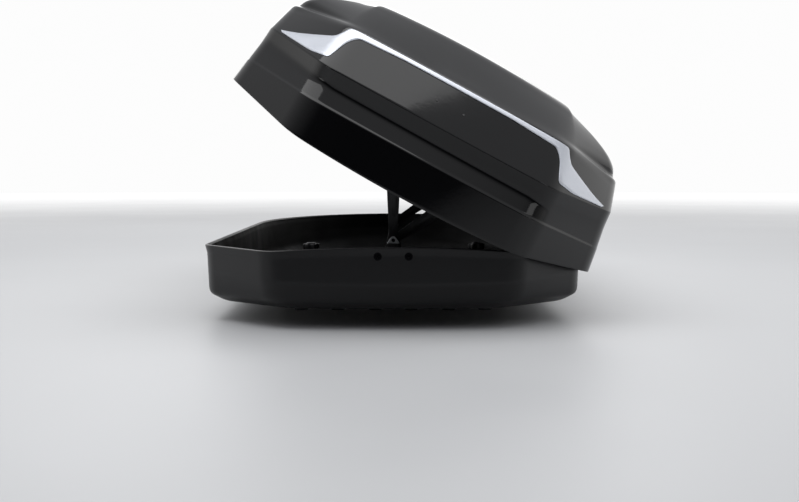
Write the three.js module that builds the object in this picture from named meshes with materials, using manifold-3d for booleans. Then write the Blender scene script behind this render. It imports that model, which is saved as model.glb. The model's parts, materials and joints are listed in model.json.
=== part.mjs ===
// Roof cargo box that opens from either side: a moulded tray, a moulded lid with a silver trim band,
// hinge pins and turning claws along both sides, two lid lifters and four roof-bar clamps.
// Millimetres, +Z up, +Y towards the nose, +X to the right of somebody who stands behind the box.
// The origin is the middle of the tray's underside. The lid stands open about its right-hand pins.
import * as THREE from "three";
import { mergeVertices } from "three/addons/utils/BufferGeometryUtils.js";
import Module from "manifold-3d";

const wasm = await Module();
wasm.setup();

// ---------------------------------------------------------------- driving dimensions
const degree = Math.PI / 180;
const openAngle = 28.5 * degree; // how far the lid swings up
const hingeX = 442; // the two hinge axes run along Y at x = -hingeX and x = +hingeX
const hingeZ = 98;
const hingeStations = [-650, -200, 220]; // y of the three hinge pins on each side
const straightEnd = 300; // the sides are parallel as far forward as this
const lidWall = 3.6;
const trayWall = 4;
const gap = 0.3; // between pieces that touch

const pinRadius = 3;
const bushRadius = 4.3;
const clawRadius = 6.2;
const saddleRadius = 8.2;

const lifterStations = [-725, 200]; // y of the two lid lifters
const lifterPivotZ = 135;
const crossRailZ = 270; // the height at which the arms' tips run, with the lid closed
const armThickness = 3;

const clampX = 270;
const barHalfSpacing = 380; // half the distance between the two roof bars
const barWidth = 82; // between a closed clamp's hooks
const jawTravel = 12;
const hookDepth = 36; // from the underside of the floor to the hooks' toes
const ribDepth = 9;
const ribs = [40, 123, 204]; // x of the ribs under the floor, mirrored

const handleY = -215;
const handleX = 448.5; // where the handle's axis meets the lid's side wall
const handleZ = 157;
const wallLean = 8.5 * degree; // the side wall leans inwards
const handleRadius = 30;

// One row for each line that runs round the lid, from its bottom edge up. side is the half width, rear the
// half width of the rear face, back the y of the middle of the rear face, cut the depth of the
// cut-off rear corner, nose the y of the tip. z is given at the rear middle, at the rear corner,
// along the side and at the nose.
const lidLines = [
  { side: 461, rear: 272, back: -1075, cut: 200, nose: 1070, z: [21, 31, 73, 92] },
  { side: 453, rear: 272, back: -1073, cut: 200, nose: 1072, z: [112, 114, 128, 118] },
  { side: 452, rear: 271, back: -1069, cut: 199, nose: 1072, z: [117, 119, 134, 122] },
  { side: 445.5, rear: 270, back: -1055, cut: 190, nose: 1071, z: [148, 150, 176, 138] },
  { side: 444, rear: 270, back: -1055, cut: 190, nose: 1071, z: [158, 160, 188, 146] },
  { side: 440, rear: 270, back: -1075, cut: 200, nose: 1075, z: [188, 190, 216, 165] },
  { side: 431, rear: 264, back: -999, cut: 186, nose: 1043, z: [292, 292, 275, 204] },
  { side: 427, rear: 262, back: -990, cut: 184, nose: 1034, z: [297, 297, 289, 212] },
  { side: 418, rear: 260, back: -978, cut: 178, nose: 1020, z: [304, 303, 292, 219] },
  { side: 408, rear: 258, back: -965, cut: 158, nose: 1004, z: [312, 310, 312, 232] },
  { side: 389, rear: 257, back: -937, cut: 132, nose: 985, z: [329, 326, 329, 248] },
  { side: 364, rear: 256, back: -914, cut: 108, nose: 960, z: [343, 339, 342, 262] },
  { side: 326, rear: 254, back: -889, cut: 78, nose: 925, z: [358, 353, 356, 278] },
  { side: 264, rear: 251, back: -855, cut: 30, nose: 865, z: [378, 371, 372, 300] },
  { side: 249, rear: 241, back: -830, cut: 24, nose: 845, z: [392, 384, 380, 314] },
];
const lidRearBulge = 20; // how far the middle of the rear face stands behind its corners
const crownPeak = { y: 40, z: 440 };

const trayLines = [
  { side: 385, rear: 232, back: -1000, cut: 150, nose: 900, z: [0, 0, 0, 0] },
  { side: 425, rear: 258, back: -1024, cut: 172, nose: 985, z: [18, 20, 20, 48] },
  { side: 427, rear: 266, back: -1040, cut: 186, nose: 1012, z: [55, 61, 74, 82] },
  { side: 429, rear: 267, back: -1040, cut: 188, nose: 1022, z: [120, 111, 112, 116] },
  { side: 434, rear: 268, back: -1042, cut: 190, nose: 1030, z: [137, 126, 130, 132] },
];
const trayRearBulge = 18;

// ---------------------------------------------------------------- materials
const finish = (color, roughness, metalness = 0) =>
  new THREE.MeshStandardMaterial({ color, roughness, metalness });
const glossBlack = finish(0x1b1b1c, 0.16);
const satinBlack = finish(0x161616, 0.5);
const silverFoil = finish(0xdfe3ea, 0.3, 0.4);
const zincSteel = finish(0xb9bcc0, 0.35, 1);
const blackSteel = finish(0x232326, 0.45, 0.6);
const acetal = finish(0xd8d6cf, 0.5);

// ---------------------------------------------------------------- solids
function solidOf(geometry) {
  const bare = geometry.index ? geometry.toNonIndexed() : geometry.clone();
  bare.deleteAttribute("normal");
  bare.deleteAttribute("uv");
  const merged = mergeVertices(bare, 1e-4);
  return new wasm.Manifold(
    new wasm.Mesh({
      numProp: 3,
      vertProperties: merged.attributes.position.array,
      triVerts: new Uint32Array(merged.index.array),
    }),
  );
}

function geometryOf(solid) {
  const mesh = solid.getMesh();
  const geometry = new THREE.BufferGeometry();
  geometry.setAttribute("position", new THREE.BufferAttribute(mesh.vertProperties, 3));
  geometry.setIndex(new THREE.BufferAttribute(mesh.triVerts, 1));
  return geometry;
}

const join = (...geometries) => geometryOf(geometries.map(solidOf).reduce((a, b) => a.add(b)));
const cut = (geometry, ...tools) =>
  geometryOf(tools.map(solidOf).reduce((a, b) => a.subtract(b), solidOf(geometry)));

function block([x0, x1], [y0, y1], [z0, z1]) {
  const geometry = new THREE.BoxGeometry(x1 - x0, y1 - y0, z1 - z0);
  return geometry.translate((x0 + x1) / 2, (y0 + y1) / 2, (z0 + z1) / 2);
}

const axes = {
  x: new THREE.Vector3(1, 0, 0),
  y: new THREE.Vector3(0, 1, 0),
  z: new THREE.Vector3(0, 0, 1),
  back: new THREE.Vector3(0, -1, 0),
};

// A shape drawn in the XY, XZ or YZ plane and extruded along the third axis, between two values of it.
function prism(shape, plane, from, to, curveSegments = 5) {
  const geometry = new THREE.ExtrudeGeometry(shape, {
    depth: to - from,
    bevelEnabled: false,
    curveSegments,
  });
  if (plane === "xz") {
    geometry.applyMatrix4(new THREE.Matrix4().makeBasis(axes.x, axes.z, axes.back));
    return geometry.translate(0, to, 0);
  }
  if (plane === "yz") {
    geometry.applyMatrix4(new THREE.Matrix4().makeBasis(axes.y, axes.z, axes.x));
    return geometry.translate(from, 0, 0);
  }
  return geometry.translate(0, 0, from);
}

const polygon = (...points) => new THREE.Shape(points.map(([a, b]) => new THREE.Vector2(a, b)));

function disc(radius, holeRadius = 0) {
  const shape = new THREE.Shape().absarc(0, 0, radius, 0, 2 * Math.PI);
  if (holeRadius) shape.holes.push(new THREE.Path().absarc(0, 0, holeRadius, 0, 2 * Math.PI, true));
  return shape;
}

// Part of a ring in the XZ plane. Angles run from +X towards +Z.
function ringPart(inner, outer, start, end) {
  const shape = new THREE.Shape();
  shape.absarc(0, 0, outer, start, end);
  shape.absarc(0, 0, inner, end, start, true);
  return shape;
}

function roundedRectangle(halfWidth, halfHeight, radius) {
  const shape = new THREE.Shape();
  const x = halfWidth - radius;
  const y = halfHeight - radius;
  shape.absarc(x, y, radius, 0, Math.PI / 2);
  shape.absarc(-x, y, radius, Math.PI / 2, Math.PI);
  shape.absarc(-x, -y, radius, Math.PI, 1.5 * Math.PI);
  shape.absarc(x, -y, radius, 1.5 * Math.PI, 2 * Math.PI);
  return shape;
}

// ---------------------------------------------------------------- moulded shells
const mix = (a, b, t) => a + (b - a) * t;
const divisions = { rear: 6, corner: 5, side: 3, nose: 9 };

// The right-hand half of one line round the shell, from the rear middle to the nose tip.
function halfLine({ side, rear, back, cut, nose, z }, bulge) {
  const [zMiddle, zCorner, zSide, zNose] = z;
  const cornerY = back + bulge;
  const points = [];
  for (let i = 0; i < divisions.rear; i++) {
    const t = i / divisions.rear;
    points.push([rear * t, back + bulge * t * t, mix(zMiddle, zCorner, t * t)]);
  }
  for (let i = 0; i < divisions.corner; i++) {
    const t = i / divisions.corner;
    points.push([mix(rear, side, t), cornerY + cut * t, mix(zCorner, zSide, t)]);
  }
  for (let i = 0; i < divisions.side; i++) {
    points.push([side, mix(cornerY + cut, straightEnd, i / divisions.side), zSide]);
  }
  for (let i = 0; i <= divisions.nose; i++) {
    const t = Math.sin((i / divisions.nose) * 90 * degree);
    const x = side * Math.pow(Math.max(0, 1 - Math.pow(t, 2.2)), 1 / 1.75);
    points.push([x, mix(straightEnd, nose, t), mix(zSide, zNose, t * t)]);
  }
  return points;
}

function wholeLine(line, bulge) {
  const half = halfLine(line, bulge);
  const mirrored = half.slice(1, -1).reverse();
  return [
    ...half.map(([x, y, z]) => new THREE.Vector3(x, y, z)),
    ...mirrored.map(([x, y, z]) => new THREE.Vector3(-x, y, z)),
  ];
}

// The outward normals of a stack of lines, from each point's neighbours along and across the lines.
function normalsOf(rows) {
  const count = rows[0].length;
  return rows.map((row, r) =>
    row.map((_, i) => {
      const around = row[(i + 1) % count].clone().sub(row[(i + count - 1) % count]);
      const below = rows[Math.max(r - 1, 0)][i];
      const above = rows[Math.min(r + 1, rows.length - 1)][i];
      return around.cross(above.clone().sub(below)).normalize();
    }),
  );
}

// A shell of even wall between a stack of lines and the same lines moved inwards. One end of the stack
// closes on a pole, and the other is the open rim.
function shell(rows, pole, poleFirst, wall) {
  const normals = normalsOf(rows);
  const inner = rows.map((row, r) => row.map((p, i) => p.clone().addScaledVector(normals[r][i], -wall)));
  const innerPole = pole.clone().add(new THREE.Vector3(0, 0, poleFirst ? wall : -wall));
  const count = rows[0].length;
  const sheet = rows.length * count;
  const position = [...rows.flat(), ...inner.flat(), pole, innerPole].flatMap((p) => [p.x, p.y, p.z]);
  const index = [];
  const quad = (a, b, c, d) => index.push(a, b, c, a, c, d);
  const rim = poleFirst ? rows.length - 1 : 0;
  const cap = poleFirst ? 0 : rows.length - 1;
  for (let i = 0; i < count; i++) {
    const j = (i + 1) % count;
    for (let r = 0; r + 1 < rows.length; r++) {
      const low = r * count;
      const high = low + count;
      quad(low + i, low + j, high + j, high + i);
      quad(sheet + low + j, sheet + low + i, sheet + high + i, sheet + high + j);
    }
    const edge = rim * count;
    const last = cap * count;
    if (poleFirst) {
      quad(edge + i, edge + j, sheet + edge + j, sheet + edge + i);
      index.push(last + j, last + i, 2 * sheet);
      index.push(sheet + last + i, sheet + last + j, 2 * sheet + 1);
    } else {
      quad(edge + j, edge + i, sheet + edge + i, sheet + edge + j);
      index.push(last + i, last + j, 2 * sheet);
      index.push(sheet + last + j, sheet + last + i, 2 * sheet + 1);
    }
  }
  const geometry = new THREE.BufferGeometry();
  geometry.setAttribute("position", new THREE.Float32BufferAttribute(position, 3));
  geometry.setIndex(index);
  return geometry;
}

// The top of the lid falls away from its highest point to the edge of the raised panel.
function crownRows(edge) {
  const centre = new THREE.Vector3(0, crownPeak.y, crownPeak.z);
  return [0.72, 0.42, 0.18].map((share) =>
    edge.map((p) => {
      const point = centre.clone().lerp(p, share);
      point.z = mix(crownPeak.z, p.z, share * share);
      return point;
    }),
  );
}

function lidShell() {
  const rows = lidLines.map((line) => wholeLine(line, lidRearBulge));
  rows.push(...crownRows(rows[rows.length - 1]));
  const body = shell(rows, new THREE.Vector3(0, crownPeak.y, crownPeak.z), false, lidWall);
  const holes = [-1, 1].map((side) =>
    prism(disc(11), "yz", -20, 20, 4).translate(side * handleX, handleY, handleZ),
  );
  return cut(body, ...holes);
}

function trayShell() {
  const rows = trayLines.map((line) => wholeLine(line, trayRearBulge));
  const floor = [0.35, 0.7].map((share) =>
    rows[0].map((p) => new THREE.Vector3(p.x * share, p.y * share, 0)),
  );
  const body = shell([...floor, ...rows], new THREE.Vector3(0, 0, 0), true, trayWall);
  const underRibs = ribs.flatMap((x) =>
    [-1, 1].map((side) => block([side * x - 16, side * x + 16], [-930, 560], [-ribDepth, 1])),
  );
  const slots = clampPlaces().map(({ x, y }) => block([x - 15, x + 15], [y - 72, y + 60], [-20, 20]));
  const screwHoles = [-1, 1].map((side) =>
    prism(disc(3.4), "xz", -1060, -1000, 3).translate(side * screwX, 0, screwZ),
  );
  return cut(join(body, ...underRibs), ...slots, ...screwHoles);
}

// ---------------------------------------------------------------- trim band on the lid's rear
// The rear of the lid between the crease and the top of the band: y for a place on its face. The face
// is ruled between two of the lid's lines, so the place along them and the height between them are
// found in turn.
function rearFaceY(x, z) {
  const [low, high] = [lidLines[5], lidLines[6]];
  const across = Math.abs(x);
  let height = 0.5;
  let onRear = 0; // 0 at the middle of the rear face, 1 at its corner
  let onCorner = 0; // 0 at the rear corner, 1 at the side
  for (let pass = 0; pass < 6; pass++) {
    const rear = mix(low.rear, high.rear, height);
    onRear = Math.min(1, across / rear);
    onCorner = Math.max(0, (across - rear) / (mix(low.side, high.side, height) - rear));
    const levelOf = ({ z: [middle, corner, side] }) =>
      onCorner > 0 ? mix(corner, side, onCorner) : mix(middle, corner, onRear * onRear);
    height = (z - levelOf(low)) / (levelOf(high) - levelOf(low));
  }
  const depthOf = (line) => line.back + lidRearBulge * onRear * onRear + line.cut * onCorner;
  return mix(depthOf(low), depthOf(high), height);
}

// The band is an arch: a thin strip across the top that broadens into a leg at each end, and the leg's
// foot runs out along the crease to a point. Each row is one cross line of the right-hand half,
// outer edge first, as [x, z].
const bandHalf = [
  [[0, 290], [0, 281]],
  [[130, 290], [130, 281]],
  [[250, 290], [238, 276]],
  [[269, 289], [251, 266]],
  [[277, 274], [261, 252]],
  [[290, 258], [269, 230]],
  [[325, 245], [278, 209]],
  [[365, 231], [320, 205]],
  [[409, 218.6], [403, 214]],
];
const bandThickness = 1.6;
const bandGap = 2.8;
const bandSteps = 4; // rows between two of the cross lines above
const bandColumns = 3; // strips across the band's width

function trimBand() {
  const right = [];
  for (let i = 0; i + 1 < bandHalf.length; i++) {
    for (let step = 0; step < bandSteps; step++) {
      const t = step / bandSteps;
      const next = bandHalf[i + 1];
      right.push(bandHalf[i].map((point, k) => point.map((value, m) => mix(value, next[k][m], t))));
    }
  }
  right.push(bandHalf[bandHalf.length - 1]);
  const left = right.slice(1).reverse().map((row) => row.map(([x, z]) => [-x, z]));
  const across = bandColumns + 1;
  const layers = [bandGap, bandGap + bandThickness].map((lift) =>
    [...left, ...right].map(([[outerX, outerZ], [innerX, innerZ]]) => {
      const row = [];
      for (let c = 0; c < across; c++) {
        const x = mix(outerX, innerX, c / bandColumns);
        const z = mix(outerZ, innerZ, c / bandColumns);
        row.push([x, rearFaceY(x, z) - lift, z]);
      }
      return row;
    }),
  );
  const rows = layers[0].length;
  const at = (layer, row, column) => (layer * rows + row) * across + column;
  const index = [];
  const quad = (a, b, c, d) => index.push(a, b, c, a, c, d);
  for (let r = 0; r + 1 < rows; r++) {
    for (let c = 0; c < bandColumns; c++) {
      quad(at(0, r, c), at(0, r + 1, c), at(0, r + 1, c + 1), at(0, r, c + 1));
      quad(at(1, r, c), at(1, r, c + 1), at(1, r + 1, c + 1), at(1, r + 1, c));
    }
    quad(at(0, r, 0), at(1, r, 0), at(1, r + 1, 0), at(0, r + 1, 0));
    quad(at(0, r, across - 1), at(0, r + 1, across - 1), at(1, r + 1, across - 1), at(1, r, across - 1));
  }
  for (let c = 0; c < bandColumns; c++) {
    quad(at(0, 0, c), at(0, 0, c + 1), at(1, 0, c + 1), at(1, 0, c));
    quad(at(0, rows - 1, c), at(1, rows - 1, c), at(1, rows - 1, c + 1), at(0, rows - 1, c + 1));
  }
  const geometry = new THREE.BufferGeometry();
  geometry.setAttribute("position", new THREE.Float32BufferAttribute(layers.flat(3), 3));
  geometry.setIndex(index);
  return geometry;
}

// ---------------------------------------------------------------- hinges and latches
// A bracket on the outside of the tray's wall: a plate, two ears and the pin between them.
function hingePin() {
  const plate = block([-12.4, -9.4], [-34, 34], [-14, 12]);
  const ears = [-34, 30].flatMap((y) => [
    prism(disc(6.5), "xz", y, y + 4, 4),
    block([-10, 0], [y, y + 4], [-6.5, 6.5]),
  ]);
  return join(plate, ...ears, prism(disc(pinRadius), "xz", -32, 32, 4));
}

// A half liner that sits over the pin, open below.
const hingeBush = () => prism(ringPart(pinRadius + gap, bushRadius, 0, Math.PI), "xz", -24, 24, 6);

// A half ring that turns about the hinge axis to close under the pin, with a lug that the lock bar drives.
function hingeClaw() {
  const hook = prism(ringPart(bushRadius + gap, clawRadius, 0, Math.PI), "xz", -16, 16, 6);
  const lug = prism(ringPart(bushRadius + gap, clawRadius + 1.8, 1.25, 1.9), "xz", -16, -8, 2);
  return join(hook, lug);
}

// The steel rail inside the lid's side wall, with a saddle over each claw.
function hingeRail() {
  const plate = block([7, 8.8], [hingeStations[0] - 70, hingeStations[2] + 60], [-14, 14]);
  const saddles = hingeStations.map((y) =>
    prism(ringPart(clawRadius + gap, saddleRadius, -8 * degree, 172 * degree), "xz", y - 6, y + 14, 6),
  );
  return join(plate, ...saddles);
}

function lockBar() {
  const bar = block([2.8, 6], [hingeStations[0] - 50, hingeStations[2] + 40], [19, 29]);
  const tongue = block([2.8, 6], [handleY - 16, handleY + 16], [28, 34]);
  return join(bar, tongue);
}

// The turning handle on the side wall, drawn with its axis along X and its outer side towards +X.
function lockHandle() {
  const plate = prism(disc(handleRadius), "yz", 0.6, 3.4, 6);
  const grip = prism(roundedRectangle(25, 9, 6), "yz", 3, 9, 3);
  const spindle = prism(disc(9), "yz", -12, 1, 4);
  const crank = block([-12, -9], [-5, 5], [-24, 0]);
  return cut(join(plate, grip, spindle, crank), prism(disc(6.3), "yz", 2, 20, 4));
}

function keyCylinder() {
  const barrel = prism(disc(5.5), "yz", 2.4, 9.4, 4);
  return cut(barrel, block([8, 12], [-0.9, 0.9], [-3.6, 3.6]));
}

// ---------------------------------------------------------------- lid lifters
// Distance from the arms' pivot to the line that the tips run along, square to the lid, at a lid angle.
const railDistance = (angle) =>
  crossRailZ - hingeZ + hingeX * Math.sin(angle) - (lifterPivotZ - hingeZ) * Math.cos(angle);
const armLength = railDistance(openAngle) / Math.cos(openAngle);

// A tapered flat arm, from its pivot eye to its rounded tip. It points up along Z.
function lifterArm() {
  const outline = new THREE.Shape();
  outline.absarc(0, 0, 9.5, Math.PI, 2 * Math.PI);
  outline.lineTo(17, 0.38 * armLength);
  outline.lineTo(6, armLength);
  outline.absarc(0, armLength, 6, 0, Math.PI);
  outline.lineTo(-17, 0.38 * armLength);
  outline.holes.push(new THREE.Path().absarc(0, 0, 6.3, 0, 2 * Math.PI, true));
  return prism(outline, "xz", 0, armThickness, 6);
}

const armBush = () => prism(disc(6, 4.3), "xz", 0, armThickness + 1, 6);

// The pivot bolt: a plain end in the bright ear, the shank, and a nut behind the arms.
function pivotBolt() {
  const shank = prism(disc(4), "xz", -20.5, 18, 6);
  return join(shank, prism(disc(7), "xz", 10, 15, 3));
}

// The bright ear that carries the bolt, a triangle with its rounded point up.
function lifterLug() {
  const ear = polygon([-15, -7.5], [15, -7.5], [13.5, -4.5], [7, 6], [3, 9], [-3, 9], [-7, 6], [-13.5, -4.5]);
  ear.holes.push(new THREE.Path().absarc(0, 0, 4.3, 0, 2 * Math.PI, true));
  return prism(ear, "xz", -19, -15, 4);
}

// The black pedestal on the tray's floor, with a shelf that the bright ear stands on. The rear one reaches
// back and up to the tray's rear wall.
function lifterBase(station, reachesBack) {
  const outline = polygon([-40, 4.4], [40, 4.4], [24, 60], [14, 118], [-14, 118], [-24, 60]);
  const column = prism(outline, "xz", -14, -4);
  const heel = prism(polygon([-4, 4.4], [60, 4.4], [60, 9], [20, 40], [-4, 60]), "yz", -16, 16);
  const earShelf = prism(polygon([-13, 90], [13, 90], [13, 127.4], [-13, 127.4]), "xz", -19, -13.9);
  const pieces = [column, heel, earShelf];
  if (reachesBack) {
    const rearFloor = -978 - station;
    const rearWall = -1034.5 - station;
    const strap = polygon(
      [-8, 4.5],
      [-8, 9],
      [rearFloor + 3, 9],
      [rearWall + 20, 32],
      [rearWall + 4, 64],
      [rearWall + 4, 127],
      [rearWall, 127],
      [rearWall, 61],
      [rearWall + 15, 24],
      [rearFloor, 4.5],
    );
    const plate = prism(strap, "yz", -46, 46);
    const holes = [-1, 1].map((side) =>
      prism(disc(3.4), "xz", rearWall - 5, rearWall + 8, 3).translate(side * screwX, 0, screwZ),
    );
    pieces.push(cut(plate, ...holes));
  }
  return join(...pieces);
}

// The upturned channel inside the lid that the arms' tips run in.
function crossRail() {
  const top = crossRailZ + 26.5;
  const outside = block([-384, 384], [-16, 18], [crossRailZ - 9, top]);
  const inside = block([-400, 400], [-13.8, 15.8], [crossRailZ - 20, top - 2.2]);
  const stops = [-1, 1].map((side) => block([side * 378 - 6, side * 378 + 6], [-16, 18], [top - 6, top]));
  return join(cut(outside, inside), ...stops);
}

// A pan-head screw through the tray's rear wall, pointing forward.
const screwX = 33;
const screwZ = 118;
function rearScrew() {
  const head = prism(disc(6.5), "xz", -3.4, -0.4, 4);
  const shank = prism(disc(3), "xz", -1, 10, 3);
  return cut(join(head, shank), block([-3.5, 3.5], [-5, -2.2], [-0.7, 0.7]));
}

// ---------------------------------------------------------------- roof-bar clamps
function clampPlaces() {
  const places = [];
  for (const [end, sign] of [["rear", -1], ["front", 1]]) {
    for (const [hand, side] of [["left", -1], ["right", 1]]) {
      places.push({ name: `${end}_${hand}`, x: side * clampX, y: sign * barHalfSpacing });
    }
  }
  return places;
}

// The housing on the tray's floor, with the fixed hook that goes down in front of the bar.
function clampBody() {
  const housing = prism(roundedRectangle(30, 78, 12), "xy", 4.4, 34, 3);
  const collar = prism(disc(20), "xy", 33, 40, 5);
  const near = barWidth / 2;
  const stem = block([-13, 13], [near, near + 12], [-hookDepth - 6, 6]);
  const toe = block([-13, 13], [near - 16, near + 12], [-hookDepth - 6, -hookDepth]);
  return join(housing, collar, stem, toe);
}

// The hook behind the bar, on a carriage that slides in the floor's slot.
function clampJaw() {
  const near = -barWidth / 2 - jawTravel;
  const carriage = block([-13, 13], [near - 12, near + 44], [-1.5, 3.7]);
  const stem = block([-13, 13], [near - 12, near], [-hookDepth - 6, 3]);
  const toe = block([-13, 13], [near - 12, near + 16], [-hookDepth - 6, -hookDepth]);
  return join(carriage, stem, toe);
}

// A six-lobed hand knob.
function clampKnob() {
  const outline = new THREE.Shape();
  const steps = 36;
  for (let i = 0; i < steps; i++) {
    const angle = (i / steps) * 2 * Math.PI;
    const radius = 24 + 3 * Math.cos(6 * angle);
    const point = [radius * Math.cos(angle), radius * Math.sin(angle)];
    if (i) outline.lineTo(...point);
    else outline.moveTo(...point);
  }
  return join(prism(outline, "xy", 40.4, 58), prism(disc(14), "xy", 57, 63, 4));
}

// ---------------------------------------------------------------- assembly
const cargoBox = new THREE.Group();
cargoBox.name = "roof_cargo_box";

// The lid's own group is drawn closed, inside a group that turns it open about the right-hand hinge axis.
const swing = new THREE.Group();
swing.position.set(hingeX, 0, hingeZ);
swing.rotation.y = openAngle;
const lid = new THREE.Group();
lid.position.set(-hingeX, 0, -hingeZ);
swing.add(lid);
cargoBox.add(swing);

function add(parent, name, geometry, material) {
  const mesh = new THREE.Mesh(geometry, material);
  mesh.name = name;
  parent.add(mesh);
  return mesh;
}

add(cargoBox, "tray_shell", trayShell(), satinBlack);
add(lid, "lid_shell", lidShell(), glossBlack);
add(lid, "trim_band", trimBand(), silverFoil);

// Everything on a side is drawn for the right-hand side, about the hinge axis, and mirrored for the left.
const hands = [["left", -1], ["right", 1]];
const places = ["rear", "middle", "front"];
for (const [hand, side] of hands) {
  const mirrorOf = (geometry) => {
    if (side > 0) return geometry;
    const mirrored = geometryOf(solidOf(geometry));
    mirrored.scale(-1, 1, 1);
    mirrored.setIndex([...mirrored.index.array].reverse());
    return mirrored;
  };
  const onAxis = (mesh, y = 0) => mesh.position.set(side * hingeX, y, hingeZ);
  hingeStations.forEach((y, i) => {
    const label = `${hand}_${places[i]}`;
    onAxis(add(cargoBox, `hinge_pin_${label}`, mirrorOf(hingePin()), blackSteel), y);
    onAxis(add(lid, `hinge_bush_${label}`, hingeBush(), acetal), y);
    const claw = add(lid, `latch_claw_${label}`, hingeClaw(), zincSteel);
    onAxis(claw, y);
    claw.rotation.y = side > 0 ? Math.PI : 0; // closed under the pin on the right, let go on the left
  });
  onAxis(add(lid, `hinge_rail_${hand}`, mirrorOf(hingeRail()), zincSteel));
  onAxis(add(lid, `lock_bar_${hand}`, mirrorOf(lockBar()), zincSteel));
  const handle = add(lid, `lock_handle_${hand}`, mirrorOf(lockHandle()), satinBlack);
  const key = add(lid, `key_cylinder_${hand}`, mirrorOf(keyCylinder()), zincSteel);
  for (const mesh of [handle, key]) {
    mesh.position.set(side * handleX, handleY, handleZ);
    mesh.rotation.y = -side * wallLean;
  }
}

lifterStations.forEach((y, i) => {
  const label = ["rear", "front"][i];
  const rearmost = i === 0;
  const place = (mesh, z = 0) => mesh.position.set(0, y, z);
  place(add(cargoBox, `lifter_base_${label}`, lifterBase(y, rearmost), satinBlack));
  place(add(cargoBox, `lifter_lug_${label}`, lifterLug(), zincSteel), lifterPivotZ);
  place(add(cargoBox, `lifter_bolt_${label}`, pivotBolt(), zincSteel), lifterPivotZ);
  const arms = [
    { letter: "a", offset: -12, lean: 0 },
    { letter: "b", offset: 2, lean: 2 * openAngle },
  ];
  for (const { letter, offset, lean } of arms) {
    const bush = add(cargoBox, `lifter_bush_${letter}_${label}`, armBush(), acetal);
    bush.position.set(0, y + offset - 0.5, lifterPivotZ);
    const arm = add(cargoBox, `lifter_arm_${letter}_${label}`, lifterArm(), blackSteel);
    arm.position.set(0, y + offset, lifterPivotZ);
    arm.rotation.y = lean;
  }
  place(add(lid, `cross_rail_${label}`, crossRail(), blackSteel));
});

for (const [hand, side] of hands) {
  const screw = add(cargoBox, `rear_screw_${hand}`, rearScrew(), blackSteel);
  const { back, rear } = trayLines[3];
  screw.position.set(side * screwX, back + trayRearBulge * (screwX / rear) ** 2 - gap, screwZ);
}

for (const { name, x, y } of clampPlaces()) {
  add(cargoBox, `clamp_body_${name}`, clampBody(), satinBlack).position.set(x, y, 0);
  add(cargoBox, `clamp_jaw_${name}`, clampJaw(), blackSteel).position.set(x, y, 0);
  add(cargoBox, `clamp_knob_${name}`, clampKnob(), satinBlack).position.set(x, y, 0);
}

export default cargoBox;
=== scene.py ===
import json

import bmesh
import bpy
import numpy as np
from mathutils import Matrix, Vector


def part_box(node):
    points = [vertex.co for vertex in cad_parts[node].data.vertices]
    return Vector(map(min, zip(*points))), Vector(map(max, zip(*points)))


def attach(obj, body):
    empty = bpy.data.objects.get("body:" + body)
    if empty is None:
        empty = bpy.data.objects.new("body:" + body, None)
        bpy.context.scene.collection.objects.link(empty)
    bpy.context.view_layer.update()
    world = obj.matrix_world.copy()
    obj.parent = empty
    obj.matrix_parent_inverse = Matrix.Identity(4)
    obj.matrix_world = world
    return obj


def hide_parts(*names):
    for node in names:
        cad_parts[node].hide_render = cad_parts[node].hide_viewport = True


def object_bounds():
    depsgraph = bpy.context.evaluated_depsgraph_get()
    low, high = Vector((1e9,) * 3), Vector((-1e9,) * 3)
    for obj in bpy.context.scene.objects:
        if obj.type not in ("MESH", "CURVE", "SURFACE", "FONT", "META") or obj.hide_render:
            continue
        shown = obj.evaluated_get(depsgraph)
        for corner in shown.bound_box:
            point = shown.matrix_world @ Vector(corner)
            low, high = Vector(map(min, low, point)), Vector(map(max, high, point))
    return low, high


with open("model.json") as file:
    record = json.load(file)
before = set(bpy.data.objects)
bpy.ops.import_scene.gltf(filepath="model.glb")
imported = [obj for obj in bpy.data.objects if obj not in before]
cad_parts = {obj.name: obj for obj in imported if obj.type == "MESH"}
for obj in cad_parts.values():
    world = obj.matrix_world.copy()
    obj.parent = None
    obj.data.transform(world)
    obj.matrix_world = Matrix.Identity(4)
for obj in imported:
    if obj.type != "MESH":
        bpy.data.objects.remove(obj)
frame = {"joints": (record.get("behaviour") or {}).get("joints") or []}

# Roof cargo box with a lid that opens from either side. Shapes are drawn in millimetres, meshes are
# in metres. What belongs to the lid is drawn closed, then swung open about the right-hand pins.
cadBox = [list(corner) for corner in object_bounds()]
print("frame loaded")

mm = 0.001
joints = {joint["name"]: joint for joint in frame["joints"]}
hinge = joints["lid_right_hinge"]
hingeX, _, hingeZ = np.array(hinge["pos_m"]) / mm
openAngle = np.radians(-hinge["range_deg"][0])
hands = {"left": -1, "right": 1}


def middle(node):  # of a CAD node's box
    low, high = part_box(node)
    return np.array((low + high) / 2) / mm


def turn(points, angle, x=0.0, z=0.0):  # about the line along Y through x and z, +Z towards +X
    dx, dz = points[..., 0] - x, points[..., 2] - z
    turnedX = x + dx * np.cos(angle) + dz * np.sin(angle)
    turnedZ = z - dx * np.sin(angle) + dz * np.cos(angle)
    return np.stack([turnedX, points[..., 1], turnedZ], -1)


def swungOpen(points):
    return turn(np.asarray(points, float), openAngle, hingeX, hingeZ)


def swungShut(points):
    return turn(np.asarray(points, float), -openAngle, hingeX, hingeZ)


# Camera, and the lights of the studio.
view = {"lens": 55.58, "place": (0.0033, -3.650, 0.3061), "down": 3.863, "right": 0.2215}
camera = bpy.data.objects.new("camera", bpy.data.cameras.new("camera"))
camera.data.lens = view["lens"]
camera.location = view["place"]
camera.rotation_euler = (np.radians(90 - view["down"]), 0, -np.radians(view["right"]))
bpy.context.scene.collection.objects.link(camera)
bpy.context.scene.camera = camera
bpy.context.scene.view_settings.view_transform = "Standard"


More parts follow.
